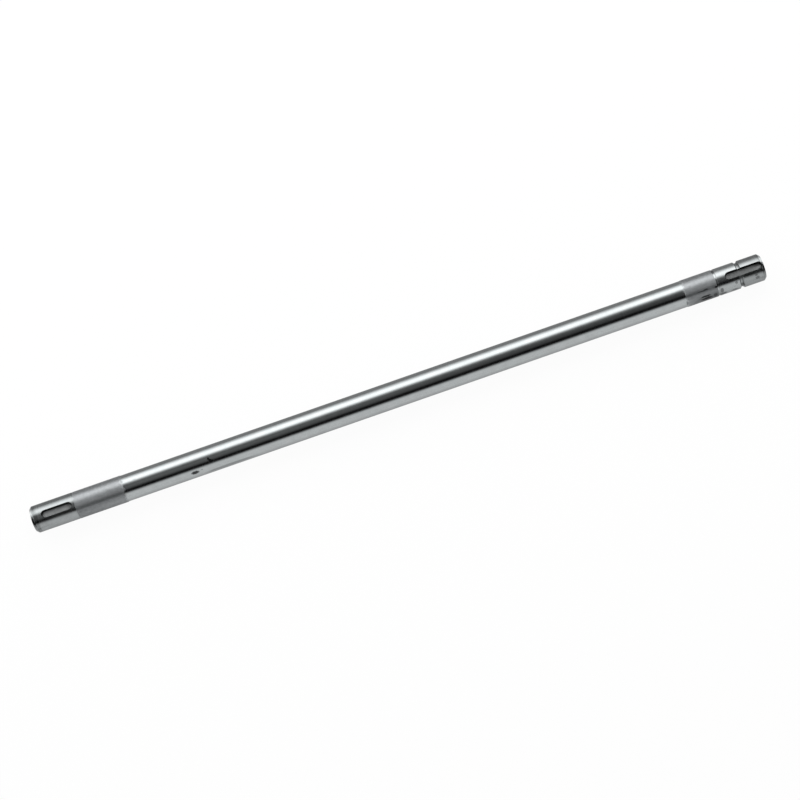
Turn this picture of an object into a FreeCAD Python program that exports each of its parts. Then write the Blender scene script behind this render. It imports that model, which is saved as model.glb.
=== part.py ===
"""Keyed drive shaft: one turned steel bar with a keyway at each end.

The shaft lies along X with its middle at the origin. The grooved end points to +X and both
keyways open towards +Z. All sizes are millimetres and come from the sheet of sizes.
"""

import FreeCAD, Part
import math
import os

import Sketcher

NODE = "drive_shaft"
LEFT, RIGHT = -1, 1

# How a sketch names its origin point, its X axis, and the ends and centre of a curve
ORIGIN = -1
X_AXIS = -1
START, END, CENTRE = 1, 2, 3

FULL_TURN = 360

SIZES = {
    "shaft_length": 835,
    "bearing_seat_diameter": 30,
    "key_seat_diameter": 30,
    "body_diameter": 29.4,
    "end_chamfer": 2.6,
    "left_key_seat_length": 49.5,
    "left_bearing_seat_length": 54.5,
    "right_key_seat_length": 55.2,
    "right_bearing_seat_length": 34.8,
    "undercut_width": 1,
    "undercut_depth": 0.25,
    "relief_width": 2.4,
    "relief_depth": 0.5,
    "ring_groove_place": 27.6,
    "ring_groove_width": 2.7,
    "ring_groove_depth": 1.8,
    "ring_groove_chamfer": 1.1,
    "keyway_width": 8,
    "keyway_depth": 4,
    "left_keyway_length": 34.5,
    "left_keyway_end_wall": 12,
    "right_keyway_length": 42,
    "right_keyway_end_wall": 1.7,
    "centre_pilot_diameter": 3.15,
    "centre_pilot_depth": 6,
    "centre_cone_diameter": 6.7,
    "centre_cone_angle": 60,
    "centre_drill_angle": 118,
}

# Distances from the middle of the shaft and from its axis, as formulas of the sheet
SHAFT_END = "sizes.shaft_length / 2"
LEFT_SHOULDER = SHAFT_END + " - sizes.left_key_seat_length"
RIGHT_SHOULDER = SHAFT_END + " - sizes.right_key_seat_length"
KEY_RADIUS = "sizes.key_seat_diameter / 2"
SEAT_RADIUS = "sizes.bearing_seat_diameter / 2"
BODY_RADIUS = "sizes.body_diameter / 2"


def fill_sheet(doc):
    """Write the driving dimensions into a sheet, one named cell each."""
    sheet = doc.addObject("Spreadsheet::Sheet", "sizes")
    for row, (name, size) in enumerate(SIZES.items(), start=1):
        sheet.set(f"A{row}", name)
        sheet.set(f"B{row}", str(size))
        sheet.setAlias(f"B{row}", name)
    doc.recompute()
    return sheet


def new_sketch(body, name, plane, height=None):
    """A sketch on one of the body's own origin planes, or at a height above it."""
    sketch = body.newObject("Sketcher::SketchObject", name)
    origin_plane = next(p for p in body.Origin.OriginFeatures if p.Role == plane)
    sketch.AttachmentSupport = [(origin_plane, "")]
    sketch.MapMode = "FlatFace"
    if height:
        sketch.setExpression(".AttachmentOffset.Base.z", height)
    return sketch


def draw_outline(sketch, corners):
    """Draw a closed outline through the corners, each line joined to the next."""
    following = corners[1:] + corners[:1]
    for here, there in zip(corners, following):
        sketch.addGeometry(Part.LineSegment(FreeCAD.Vector(*here), FreeCAD.Vector(*there)))
    lines = range(len(corners))
    for line in lines:
        joined = lines[line - 1]
        sketch.addConstraint(Sketcher.Constraint("Coincident", joined, END, line, START))


def keep(sketch, direction, lines):
    """Keep lines level along the shaft (Horizontal) or square to it (Vertical)."""
    for line in lines:
        sketch.addConstraint(Sketcher.Constraint(direction, line))


def bind(sketch, constraint, name, formula):
    """Add a dimension under a name and tie it to the sheet."""
    number = sketch.addConstraint(constraint)
    sketch.renameConstraint(number, name)
    sketch.setExpression("Constraints." + name, formula)


def bind_place(sketch, curve, point, side, name, formula):
    """Set how far a point lies from the middle of the shaft, to its left or to its right."""
    drawn = abs(sketch.getPoint(curve, point).x)
    ends = (curve, point, ORIGIN, START) if side == LEFT else (ORIGIN, START, curve, point)
    bind(sketch, Sketcher.Constraint("DistanceX", *ends, drawn), name, formula)


def bind_radius(sketch, line, name, formula):
    """Set how far a line of a half section lies from the axis of the shaft."""
    drawn = sketch.getPoint(line, START).y
    ends = (ORIGIN, START, line, START)
    bind(sketch, Sketcher.Constraint("DistanceY", *ends, drawn), name, formula)


def circles_at(shape, place, radius):
    """Names of the circular edges round the shaft at one place along it, of one radius."""
    tolerance = 1e-6
    names = []
    for number, edge in enumerate(shape.Edges, start=1):
        if not isinstance(edge.Curve, Part.Circle):
            continue
        off_place = abs(edge.Curve.Center.x - place)
        off_radius = abs(edge.Curve.Radius - radius)
        if max(off_place, off_radius) < tolerance:
            names.append(f"Edge{number}")
    return names


def turn_stepped_bar(body):
    """Revolve the half section of the bar: key seats, bearing seats and the body between.

    A fine undercut parts the left key seat from its bearing seat. The relief on the right has
    a square wall at the bearing seat and runs out at 45 degrees towards the key seat.
    """
    left_seat_end = LEFT_SHOULDER + " - sizes.left_bearing_seat_length"
    body_end = RIGHT_SHOULDER + " - sizes.right_bearing_seat_length"
    relief_end = RIGHT_SHOULDER + " + sizes.relief_width"
    # the lands from left to right: name, radius, and the side and place of the far end
    lands = [
        ("left_key_seat", KEY_RADIUS, LEFT, LEFT_SHOULDER + " + sizes.undercut_width"),
        ("undercut", KEY_RADIUS + " - sizes.undercut_depth", LEFT, LEFT_SHOULDER),
        ("left_bearing_seat", SEAT_RADIUS, LEFT, left_seat_end),
        ("body", BODY_RADIUS, RIGHT, body_end),
        ("right_bearing_seat", SEAT_RADIUS, RIGHT, RIGHT_SHOULDER),
        ("relief", KEY_RADIUS + " - sizes.relief_depth", RIGHT, relief_end + " - sizes.relief_depth"),
        ("right_key_seat", KEY_RADIUS, RIGHT, SHAFT_END),
    ]

    # drawn roughly, one step for each land, and set to size by the dimensions below
    left_lands = sum(side == LEFT for _, _, side, _ in lands)
    drawn_start = -left_lands - 0.5
    corners = [(drawn_start, 0)]
    for step in range(len(lands)):
        drawn_radius = 1 + step % 2
        corners += [(drawn_start + step, drawn_radius), (drawn_start + step + 1, drawn_radius)]
    corners.append((drawn_start + len(lands), 0))
    sketch = new_sketch(body, "half_section", "XZ_Plane")
    draw_outline(sketch, corners)

    # the outline runs up the left end face, over the lands and down the right end face
    left_face, axis_line = 0, len(corners) - 1
    keep(sketch, "Vertical", [left_face])
    sketch.addConstraint(Sketcher.Constraint("PointOnObject", axis_line, START, X_AXIS))
    sketch.addConstraint(Sketcher.Constraint("PointOnObject", axis_line, END, X_AXIS))
    bind_place(sketch, left_face, END, LEFT, "left_end", SHAFT_END)
    for step, (name, radius, side, far_end) in enumerate(lands):
        land = 1 + 2 * step
        shoulder = land + 1
        keep(sketch, "Horizontal", [land])
        bind_radius(sketch, land, name + "_radius", radius)
        bind_place(sketch, land, END, side, name + "_end", far_end)
        if name == "relief":
            bind_place(sketch, shoulder, END, side, "relief_run_out", relief_end)
        else:
            keep(sketch, "Vertical", [shoulder])

    bar = body.newObject("PartDesign::Revolution", "stepped_bar")
    bar.Profile = sketch
    bar.ReferenceAxis = (sketch, ["H_Axis"])
    bar.Angle = FULL_TURN
    return bar


def chamfer_ends(body, bar, sheet):
    """Chamfer the rim of both end faces."""
    half_length = sheet.get("shaft_length") / 2
    radius = sheet.get("key_seat_diameter") / 2
    rims = circles_at(bar.Shape, -half_length, radius) + circles_at(bar.Shape, half_length, radius)
    chamfer = body.newObject("PartDesign::Chamfer", "end_chamfers")
    chamfer.Base = (bar, rims)
    chamfer.setExpression("Size", "sizes.end_chamfer")
    return chamfer


def turn_ring_groove(body):
    """Square groove for a retaining ring, across the key seat near the right end."""
    sketch = new_sketch(body, "ring_groove_section", "XZ_Plane")
    draw_outline(sketch, [(1, 1), (2, 1), (2, 2), (1, 2)])
    floor, outer_wall, top, inner_wall = range(4)
    keep(sketch, "Horizontal", [floor, top])
    keep(sketch, "Vertical", [outer_wall, inner_wall])
    middle = SHAFT_END + " - sizes.ring_groove_place"
    half_width = "sizes.ring_groove_width / 2"
    bind_place(sketch, floor, START, RIGHT, "inner_wall", f"{middle} - {half_width}")
    bind_place(sketch, floor, END, RIGHT, "outer_wall", f"{middle} + {half_width}")
    bind_radius(sketch, floor, "floor_radius", KEY_RADIUS + " - sizes.ring_groove_depth")
    # the section stands out of the bar by as much as it cuts in
    bind_radius(sketch, top, "clear_radius", KEY_RADIUS + " + sizes.ring_groove_depth")

    groove = body.newObject("PartDesign::Groove", "ring_groove")
    groove.Profile = sketch
    groove.ReferenceAxis = (sketch, ["H_Axis"])
    groove.Angle = FULL_TURN
    return groove


def chamfer_ring_groove(body, groove, sheet):
    """Break the two rims of the ring groove."""
    middle = sheet.get("shaft_length") / 2 - sheet.get("ring_groove_place")
    half_width = sheet.get("ring_groove_width") / 2
    radius = sheet.get("key_seat_diameter") / 2
    rims = []
    for side in (LEFT, RIGHT):
        rims += circles_at(groove.Shape, middle + side * half_width, radius)
    chamfer = body.newObject("PartDesign::Chamfer", "ring_groove_rims")
    chamfer.Base = (groove, rims)
    chamfer.setExpression("Size", "sizes.ring_groove_chamfer")
    return chamfer


def drill_centre(doc, body, name, side):
    """Centre hole in an end face, for turning and grinding the bar between centres."""
    end_face = f"-({SHAFT_END})" if side == LEFT else SHAFT_END
    sketch = new_sketch(body, name + "_outline", "YZ_Plane", end_face)
    circle = Part.Circle(FreeCAD.Vector(), FreeCAD.Vector(0, 0, 1), 1)
    pilot = sketch.addGeometry(circle)
    sketch.addConstraint(Sketcher.Constraint("Coincident", pilot, CENTRE, ORIGIN, START))
    drawn = Sketcher.Constraint("Radius", pilot, circle.Radius)
    bind(sketch, drawn, "pilot_radius", "sizes.centre_pilot_diameter / 2")
    doc.recompute()

    hole = body.newObject("PartDesign::Hole", name)
    hole.Profile = sketch
    hole.Reversed = side == LEFT
    hole.DepthType = "Dimension"
    hole.setExpression("Diameter", "sizes.centre_pilot_diameter")
    hole.setExpression("Depth", "sizes.centre_pilot_depth")
    hole.DrillPoint = "Angled"
    hole.setExpression("DrillPointAngle", "sizes.centre_drill_angle")
    hole.HoleCutType = "Countersink"
    hole.HoleCutCustomValues = True
    hole.setExpression("HoleCutDiameter", "sizes.centre_cone_diameter")
    hole.setExpression("HoleCutCountersinkAngle", "sizes.centre_cone_angle")
    return hole


def mill_keyway(body, name, side):
    """Closed keyway with round ends, as an end mill of the key's width leaves it."""
    sketch = new_sketch(body, name + "_outline", "XY_Plane", KEY_RADIUS)

    # drawn one unit wide, with its round ends one and three units from the middle of the shaft
    drawn_radius = 0.5
    left_place, right_place = sorted((side, side * 3))
    quarter_turn = math.pi / 2
    up = FreeCAD.Vector(0, 0, 1)
    left_circle = Part.Circle(FreeCAD.Vector(left_place), up, drawn_radius)
    right_circle = Part.Circle(FreeCAD.Vector(right_place), up, drawn_radius)
    left_arc = Part.ArcOfCircle(left_circle, quarter_turn, 3 * quarter_turn)
    right_arc = Part.ArcOfCircle(right_circle, -quarter_turn, quarter_turn)
    left_end = sketch.addGeometry(left_arc)
    right_end = sketch.addGeometry(right_arc)

    # the left arc starts at the wall towards +Y, and the right arc ends there
    walls = ((drawn_radius, START, END), (-drawn_radius, END, START))
    for height, left_point, right_point in walls:
        left_corner = FreeCAD.Vector(left_place, height)
        right_corner = FreeCAD.Vector(right_place, height)
        wall = sketch.addGeometry(Part.LineSegment(left_corner, right_corner))
        sketch.addConstraint(Sketcher.Constraint("Tangent", wall, START, left_end, left_point))
        sketch.addConstraint(Sketcher.Constraint("Tangent", wall, END, right_end, right_point))
    for arc in (left_end, right_end):
        sketch.addConstraint(Sketcher.Constraint("PointOnObject", arc, CENTRE, X_AXIS))
    sketch.addConstraint(Sketcher.Constraint("Equal", left_end, right_end))
    drawn = Sketcher.Constraint("Radius", left_end, drawn_radius)
    bind(sketch, drawn, "end_radius", "sizes.keyway_width / 2")

    inner, outer = (left_end, right_end) if side == RIGHT else (right_end, left_end)
    outer_end = f"{SHAFT_END} - sizes.{name}_end_wall"
    inner_end = f"{outer_end} - sizes.{name}_length"
    bind_place(sketch, outer, CENTRE, side, "outer_centre", f"{outer_end} - sizes.keyway_width / 2")
    bind_place(sketch, inner, CENTRE, side, "inner_centre", f"{inner_end} + sizes.keyway_width / 2")

    pocket = body.newObject("PartDesign::Pocket", name)
    pocket.Profile = sketch
    pocket.Type = "Length"
    pocket.setExpression("Length", "sizes.keyway_depth")
    return pocket


def volume_after(doc, feature, before=math.inf):
    """Build a feature and give the volume that is left, which has to be less than before."""
    doc.recompute()
    left = feature.Shape.Volume
    if not left < before:
        raise RuntimeError(f"{feature.Label} takes nothing away")
    return left


def check_model(doc, body):
    """Stop if any object failed or the finished solid isn't sound."""
    for thing in doc.Objects:
        if "Invalid" in thing.State or "Error" in thing.State:
            raise RuntimeError(f"{thing.Label} failed: {thing.State}")
    shape = body.Shape
    if shape.isNull() or not shape.isValid() or len(shape.Solids) != 1:
        raise RuntimeError(f"{body.Label} isn't one sound solid")


def build():
    """Make the shaft in the order in which it is machined, then write it out."""
    doc = FreeCAD.newDocument("keyed_shaft")
    sheet = fill_sheet(doc)
    body = doc.addObject("PartDesign::Body", NODE)
    body.Label = NODE
    body.Placement = FreeCAD.Placement()

    bar = turn_stepped_bar(body)
    volume = volume_after(doc, bar)
    volume = volume_after(doc, chamfer_ends(body, bar, sheet), volume)
    groove = turn_ring_groove(body)
    volume = volume_after(doc, groove, volume)
    volume = volume_after(doc, chamfer_ring_groove(body, groove, sheet), volume)
    for name, side in (("left_centre", LEFT), ("right_centre", RIGHT)):
        volume = volume_after(doc, drill_centre(doc, body, name, side), volume)
    for name, side in (("left_keyway", LEFT), ("right_keyway", RIGHT)):
        volume = volume_after(doc, mill_keyway(body, name, side), volume)

    check_model(doc, body)
    os.makedirs("parts", exist_ok=True)
    body.Shape.exportStep(f"parts/{NODE}.step")
    box = body.Shape.BoundBox
    print(f"{NODE}: {volume:.1f} mm3, {box.XLength:.2f} x {box.YLength:.2f} x {box.ZLength:.2f} mm")


build()
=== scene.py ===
import math

import bpy
import numpy as np
from mathutils import Matrix, Vector


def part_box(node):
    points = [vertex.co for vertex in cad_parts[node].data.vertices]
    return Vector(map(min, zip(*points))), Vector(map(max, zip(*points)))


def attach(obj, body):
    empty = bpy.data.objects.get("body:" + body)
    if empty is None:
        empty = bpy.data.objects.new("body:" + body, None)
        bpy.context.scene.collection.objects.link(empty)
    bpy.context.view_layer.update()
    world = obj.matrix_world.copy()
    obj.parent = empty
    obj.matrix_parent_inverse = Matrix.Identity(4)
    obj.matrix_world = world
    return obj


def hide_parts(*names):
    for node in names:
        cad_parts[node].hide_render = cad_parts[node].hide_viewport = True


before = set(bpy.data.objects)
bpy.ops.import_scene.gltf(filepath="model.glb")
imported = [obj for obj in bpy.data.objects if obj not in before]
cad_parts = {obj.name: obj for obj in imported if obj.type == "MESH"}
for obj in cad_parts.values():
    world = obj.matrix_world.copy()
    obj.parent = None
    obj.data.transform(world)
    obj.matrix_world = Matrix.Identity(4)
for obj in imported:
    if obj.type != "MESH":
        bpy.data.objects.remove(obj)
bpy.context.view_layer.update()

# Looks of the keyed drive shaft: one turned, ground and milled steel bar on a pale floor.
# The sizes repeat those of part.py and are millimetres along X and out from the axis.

MM = 0.001
NODE = "drive_shaft"

# Turned outline
HALF_LENGTH = 417.5
SEAT_RADIUS = 15.0
BODY_RADIUS = 14.7
END_CHAMFER = 2.6
LEFT_KEY_SEAT = 49.5
LEFT_BEARING_SEAT = 54.5
RIGHT_KEY_SEAT = 55.2
RIGHT_BEARING_SEAT = 34.8
LEFT_SHOULDER = -HALF_LENGTH + LEFT_KEY_SEAT
LEFT_SEAT_END = LEFT_SHOULDER + LEFT_BEARING_SEAT
RIGHT_SHOULDER = HALF_LENGTH - RIGHT_KEY_SEAT
RIGHT_SEAT_START = RIGHT_SHOULDER - RIGHT_BEARING_SEAT
UNDERCUT_WIDTH = 1.0
UNDERCUT_DEPTH = 0.25
RELIEF_WIDTH = 2.4
RELIEF_DEPTH = 0.5
GROOVE_PLACE = 27.6
GROOVE_MIDDLE = HALF_LENGTH - GROOVE_PLACE
GROOVE_WIDTH = 2.7
GROOVE_DEPTH = 1.8
GROOVE_CHAMFER = 1.1
STEP_RUN = 0.6
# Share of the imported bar's size that the fine one keeps, so that it stays inside
INSIDE = 1 - 1e-6

# Radii of the rounded corners
SHARP = 0.0
PILOT_ROUNDING = 0.05
CONE_ROUNDING = 0.1
FACE_ROUNDING = 0.6
CHAMFER_ROUNDING = 1.6
UNDERCUT_ROUNDING = 0.08
STEP_ROUNDING = 0.3
RELIEF_ROUNDING = 0.1
RUN_OUT_ROUNDING = 0.75
GROOVE_RIM_ROUNDING = 0.15
GROOVE_NECK_ROUNDING = 0.08
GROOVE_FLOOR_ROUNDING = 0.1

# Centre holes
DRILL_ANGLE = math.radians(118)
CONE_ANGLE = math.radians(60)
PILOT_RADIUS = 1.575
PILOT_DEPTH = 6.0
PILOT_TIP = PILOT_RADIUS / math.tan(DRILL_ANGLE / 2)
CONE_RADIUS = 3.35
CONE_DEPTH = (CONE_RADIUS - PILOT_RADIUS) / math.tan(CONE_ANGLE / 2)

# Keyways: the centres of the two round ends of each
KEYWAYS = {"left_keyway": (-401.5, -375.0), "right_keyway": (377.8, 411.8)}
KEYWAY_RADIUS = 4.0
KEYWAY_DEPTH = 4.0
KEYWAY_FLOOR = SEAT_RADIUS - KEYWAY_DEPTH
KEYWAY_RIM = 0.15
KEYWAY_FILLET = 0.25
CUTTER_TOP = SEAT_RADIUS + 2.0

# How finely the surfaces are divided
SEGMENTS = 384
CORNER_STEPS = 5
ARC_STEPS = 36
FILLET_STEPS = 3
# Faces that are matched with the outline at a time, which saves memory
BATCH = 4096
# Heights under this lie on the axis, and lengths under TINY count as none
ON_AXIS = 1e-6
TINY = 1e-9

# Kinds of face after the cut, held in the material index until the materials are given
TURNED, FLOOR, FILLET, WALL, RIM = range(5)


# Shape

def outline_corners():
    """Corners of the half section, from the left centre hole round the outside to the right one."""
    end_radius = SEAT_RADIUS - END_CHAMFER
    undercut_start = LEFT_SHOULDER - UNDERCUT_WIDTH
    undercut_radius = SEAT_RADIUS - UNDERCUT_DEPTH
    relief_end = RIGHT_SHOULDER + RELIEF_WIDTH
    relief_radius = SEAT_RADIUS - RELIEF_DEPTH
    groove_left = GROOVE_MIDDLE - GROOVE_WIDTH / 2
    groove_right = GROOVE_MIDDLE + GROOVE_WIDTH / 2
    neck_radius = SEAT_RADIUS - GROOVE_CHAMFER
    groove_radius = SEAT_RADIUS - GROOVE_DEPTH
    left_end = [
        (-HALF_LENGTH + PILOT_DEPTH + PILOT_TIP, 0.0, SHARP),
        (-HALF_LENGTH + PILOT_DEPTH, PILOT_RADIUS, SHARP),
        (-HALF_LENGTH + CONE_DEPTH, PILOT_RADIUS, PILOT_ROUNDING),
        (-HALF_LENGTH, CONE_RADIUS, CONE_ROUNDING),
        (-HALF_LENGTH, end_radius, FACE_ROUNDING),
        (-HALF_LENGTH + END_CHAMFER, SEAT_RADIUS, CHAMFER_ROUNDING),
    ]
    lands = [
        (undercut_start, SEAT_RADIUS, UNDERCUT_ROUNDING),
        (undercut_start, undercut_radius, SHARP),
        (LEFT_SHOULDER, undercut_radius, SHARP),
        (LEFT_SHOULDER, SEAT_RADIUS, UNDERCUT_ROUNDING),
        (LEFT_SEAT_END, SEAT_RADIUS, STEP_ROUNDING),
        (LEFT_SEAT_END + STEP_RUN, BODY_RADIUS, STEP_ROUNDING),
        (RIGHT_SEAT_START - STEP_RUN, BODY_RADIUS, STEP_ROUNDING),
        (RIGHT_SEAT_START, SEAT_RADIUS, STEP_ROUNDING),
        (RIGHT_SHOULDER, SEAT_RADIUS, RELIEF_ROUNDING),
        (RIGHT_SHOULDER, relief_radius, RELIEF_ROUNDING),
        (relief_end - RELIEF_DEPTH, relief_radius, RUN_OUT_ROUNDING),
        (relief_end, SEAT_RADIUS, RUN_OUT_ROUNDING),
        (groove_left - GROOVE_CHAMFER, SEAT_RADIUS, GROOVE_RIM_ROUNDING),
        (groove_left, neck_radius, GROOVE_NECK_ROUNDING),
        (groove_left, groove_radius, GROOVE_FLOOR_ROUNDING),
        (groove_right, groove_radius, GROOVE_FLOOR_ROUNDING),
        (groove_right, neck_radius, GROOVE_NECK_ROUNDING),
        (groove_right + GROOVE_CHAMFER, SEAT_RADIUS, GROOVE_RIM_ROUNDING),
    ]
    right_end = [(-place, height, rounding) for place, height, rounding in reversed(left_end)]
    return left_end + lands + right_end


def outward(direction):
    """The side of an outline's line that faces the air, as the outline runs from left to right."""
    return Vector((-direction.y, direction.x))


def rounded_outline(corners):
    """Points of the outline, each with its normal before and after, and an arc at each corner."""
    spots = [Vector(corner[:2]) for corner in corners]
    runs = [(there - here).normalized() for here, there in zip(spots, spots[1:])]
    points = [(spots[0], outward(runs[0]), outward(runs[0]))]
    for spot, (_, _, rounding), arriving, leaving in zip(spots[1:], corners[1:], runs, runs[1:]):
        first, last = outward(arriving), outward(leaving)
        if not rounding:
            points.append((spot, first, last))
            continue
        turn = first.angle(last)
        side = -1 if first.dot(leaving) < 0 else 1
        start = spot - arriving * rounding * math.tan(turn / 2)
        centre = start + first * rounding * side
        for step in range(CORNER_STEPS + 1):
            share = step / CORNER_STEPS
            normal = first * math.sin((1 - share) * turn) + last * math.sin(share * turn)
            normal.normalize()
            points.append((centre - normal * rounding * side, normal, normal))
    points.append((spots[-1], outward(runs[-1]), outward(runs[-1])))
    return points


def turned_bar(points):
    """Mesh of the outline turned about the X axis, closed at both tips."""
    turns = 2 * math.pi * np.arange(SEGMENTS) / SEGMENTS
    spots, rings = [], []
    for spot, _, _ in points:
        if spot.y < ON_AXIS:
            rings.append([len(spots)] * SEGMENTS)
            spots.append((spot.x, 0.0, 0.0))
        else:
            rings.append(list(range(len(spots), len(spots) + SEGMENTS)))
            spots += [(spot.x, spot.y * math.sin(turn), spot.y * math.cos(turn)) for turn in turns]
    faces = []
    for ring, following in zip(rings, rings[1:]):
        for here in range(SEGMENTS):
            there = (here + 1) % SEGMENTS
            face = [ring[here], following[here], following[there], ring[there]]
            faces.append(list(dict.fromkeys(face)))
    mesh = bpy.data.meshes.new("turned_bar")
    mesh.from_pydata(spots, [], faces)
    return mesh


def surface_height(place, across):
    """Height of the bar over its axis, at a place along it and beside its middle plane."""
    chamfered = max(0.0, abs(place) - (HALF_LENGTH - END_CHAMFER))
    return math.sqrt((SEAT_RADIUS - chamfered) ** 2 - across ** 2)


def slot_outline(left, right, radius):
    """Points round a slot with round ends, against the clock seen from above."""
    points = []
    for centre, start in ((right, -math.pi / 2), (left, math.pi / 2)):
        for step in range(ARC_STEPS + 1):
            turn = start + math.pi * step / ARC_STEPS
            points.append((centre + radius * math.cos(turn), radius * math.sin(turn)))
    return points


def keyway_cutter(left, right):
    """Closed mesh of what the end mill takes away, with a filleted floor and a broken rim."""
    rings, kinds = [], []
    quarter = math.pi / 2
    for step in range(FILLET_STEPS + 1):
        turn = quarter * step / FILLET_STEPS
        radius = KEYWAY_RADIUS - KEYWAY_FILLET * (1 - math.sin(turn))
        height = KEYWAY_FLOOR + KEYWAY_FILLET * (1 - math.cos(turn))
        rings.append([(x, y, height) for x, y in slot_outline(left, right, radius)])
        kinds.append(FILLET)
    kinds[-1] = WALL
    wall_top = slot_outline(left, right, KEYWAY_RADIUS)
    rings.append([(x, y, surface_height(x, y) - KEYWAY_RIM) for x, y in wall_top])
    kinds.append(RIM)
    rim = slot_outline(left, right, KEYWAY_RADIUS + KEYWAY_RIM)
    rings.append([(x, y, surface_height(x, y)) for x, y in rim])
    kinds.append(RIM)
    over = slot_outline(left, right, KEYWAY_RADIUS + 2 * KEYWAY_RIM)
    rings.append([(x, y, z + KEYWAY_RIM) for (x, y), (_, _, z) in zip(over, rings[-1])])
    kinds.append(RIM)
    rings.append([(x, y, CUTTER_TOP) for x, y in over])

    count = len(rings[0])
    spots = [spot for ring in rings for spot in ring]
    faces, indexes = [list(range(count))[::-1]], [FLOOR]
    for level, kind in enumerate(kinds):
        lower, upper = level * count, (level + 1) * count
        for here in range(count):
            there = (here + 1) % count
            faces.append([lower + here, lower + there, upper + there])
            faces.append([lower + here, upper + there, upper + here])
            indexes += [kind, kind]
    faces.append([len(rings) * count - count + number for number in range(count)])
    indexes.append(RIM)
    mesh = bpy.data.meshes.new("keyway_cutter")
    mesh.from_pydata(spots, [], faces)
    mesh.polygons.foreach_set("material_index", indexes)
    return mesh


def add_object(name, mesh, materials=()):
    """Put a mesh into the scene as an object."""
    thing = bpy.data.objects.new(name, mesh)
    bpy.context.scene.collection.objects.link(thing)
    for material in materials:
        mesh.materials.append(material)
    return thing


def cut_keyways(bar_mesh):
    """The bar's mesh less both keyways, with the kind of each face in its material index."""
    holders = [bpy.data.materials.new(f"kind_{kind}") for kind in range(RIM + 1)]
    bar = add_object("bar", bar_mesh, holders)
    cutters = []
    for name, (left, right) in KEYWAYS.items():
        cutter = add_object(name, keyway_cutter(left, right), holders)
        cut = bar.modifiers.new(name, "BOOLEAN")
        cut.operation = "DIFFERENCE"
        cut.solver = "EXACT"
        cut.object = cutter
        cutters.append(cutter)
    depsgraph = bpy.context.evaluated_depsgraph_get()
    depsgraph.update()
    mesh = bpy.data.meshes.new_from_object(bar.evaluated_get(depsgraph))
    for thing in (bar, *cutters):
        bpy.data.objects.remove(thing)
    for holder in holders:
        bpy.data.materials.remove(holder)
    return mesh


def read_array(items, attribute, kind, width=1):
    """One attribute of all items of a mesh as an array."""
    values = np.empty(len(items) * width, kind)
    items.foreach_get(attribute, values)
    return values.reshape(-1, width) if width > 1 else values


def turned_normals(points, centres, corners, owner):
    """Normals of the turned faces: each corner reads the line of the outline that its face is on."""
    starts = np.array([spot for spot, _, _ in points[:-1]])
    ends = np.array([spot for spot, _, _ in points[1:]])
    leaving = np.array([after for _, _, after in points[:-1]])
    arriving = np.array([before for _, before, _ in points[1:]])
    runs = ends - starts
    lengths = (runs ** 2).sum(1)

    section = np.c_[centres[:, 0], np.hypot(centres[:, 1], centres[:, 2])]
    line = np.empty(len(section), int)
    for first in range(0, len(section), BATCH):
        some = section[first:first + BATCH, None] - starts
        along = np.clip((some * runs).sum(2) / lengths, 0, 1)
        gaps = ((some - along[..., None] * runs) ** 2).sum(2)
        line[first:first + BATCH] = gaps.argmin(1)

    line = line[owner]
    place = np.c_[corners[:, 0], np.hypot(corners[:, 1], corners[:, 2])]
    along = np.clip(((place - starts[line]) * runs[line]).sum(1) / lengths[line], 0, 1)
    flat = leaving[line] * (1 - along[:, None]) + arriving[line] * along[:, None]
    on_axis = place[:, 1] < ON_AXIS
    turn = np.arctan2(corners[:, 1], corners[:, 2])
    face_turn = np.arctan2(centres[:, 1], centres[:, 2])[owner]
    turn[on_axis] = face_turn[on_axis]
    return np.c_[flat[:, 0], flat[:, 1] * np.sin(turn), flat[:, 1] * np.cos(turn)]


def milled_normals(kind, corners):
    """Normals of a keyway's faces, which follow its straight walls and round ends."""
    left, right = np.array(list(KEYWAYS.values()))[(corners[:, 0] > 0).astype(int)].T
    middle = np.clip(corners[:, 0], left, right)
    inward = np.c_[middle - corners[:, 0], -corners[:, 1]]
    inward /= np.maximum(np.linalg.norm(inward, axis=1), TINY)[:, None]
    rise = np.clip((KEYWAY_FLOOR + KEYWAY_FILLET - corners[:, 2]) / KEYWAY_FILLET, 0, 1)
    up = np.select([kind == FLOOR, kind == FILLET], [1.0, rise], 0.0)
    level = np.sqrt(1 - up ** 2)
    normals = np.c_[inward * level[:, None], up]
    radial = corners * (0, 1, 1)
    radial /= np.maximum(np.linalg.norm(radial, axis=1), TINY)[:, None]
    normals[kind == RIM] += radial[kind == RIM]
    return normals


def set_normals(mesh, points):
    """Give each face corner the exact normal of the turned or milled surface that it lies on."""
    corners = read_array(mesh.vertices, "co", np.float32, 3)[
        read_array(mesh.loops, "vertex_index", np.int32)
    ].astype(float)
    totals = read_array(mesh.polygons, "loop_total", np.int32)
    owner = np.repeat(np.arange(len(totals)), totals)
    centres = np.stack([np.bincount(owner, axis) for axis in corners.T], 1) / totals[:, None]
    kinds = read_array(mesh.polygons, "material_index", np.int32)[owner]
    turned = turned_normals(points, centres, corners, owner)
    milled = milled_normals(kinds, corners)
    normals = np.where((kinds == TURNED)[:, None], turned, milled)
    normals /= np.linalg.norm(normals, axis=1)[:, None]
    mesh.polygons.foreach_set("use_smooth", [True] * len(totals))
    mesh.normals_split_custom_set(normals)


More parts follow.
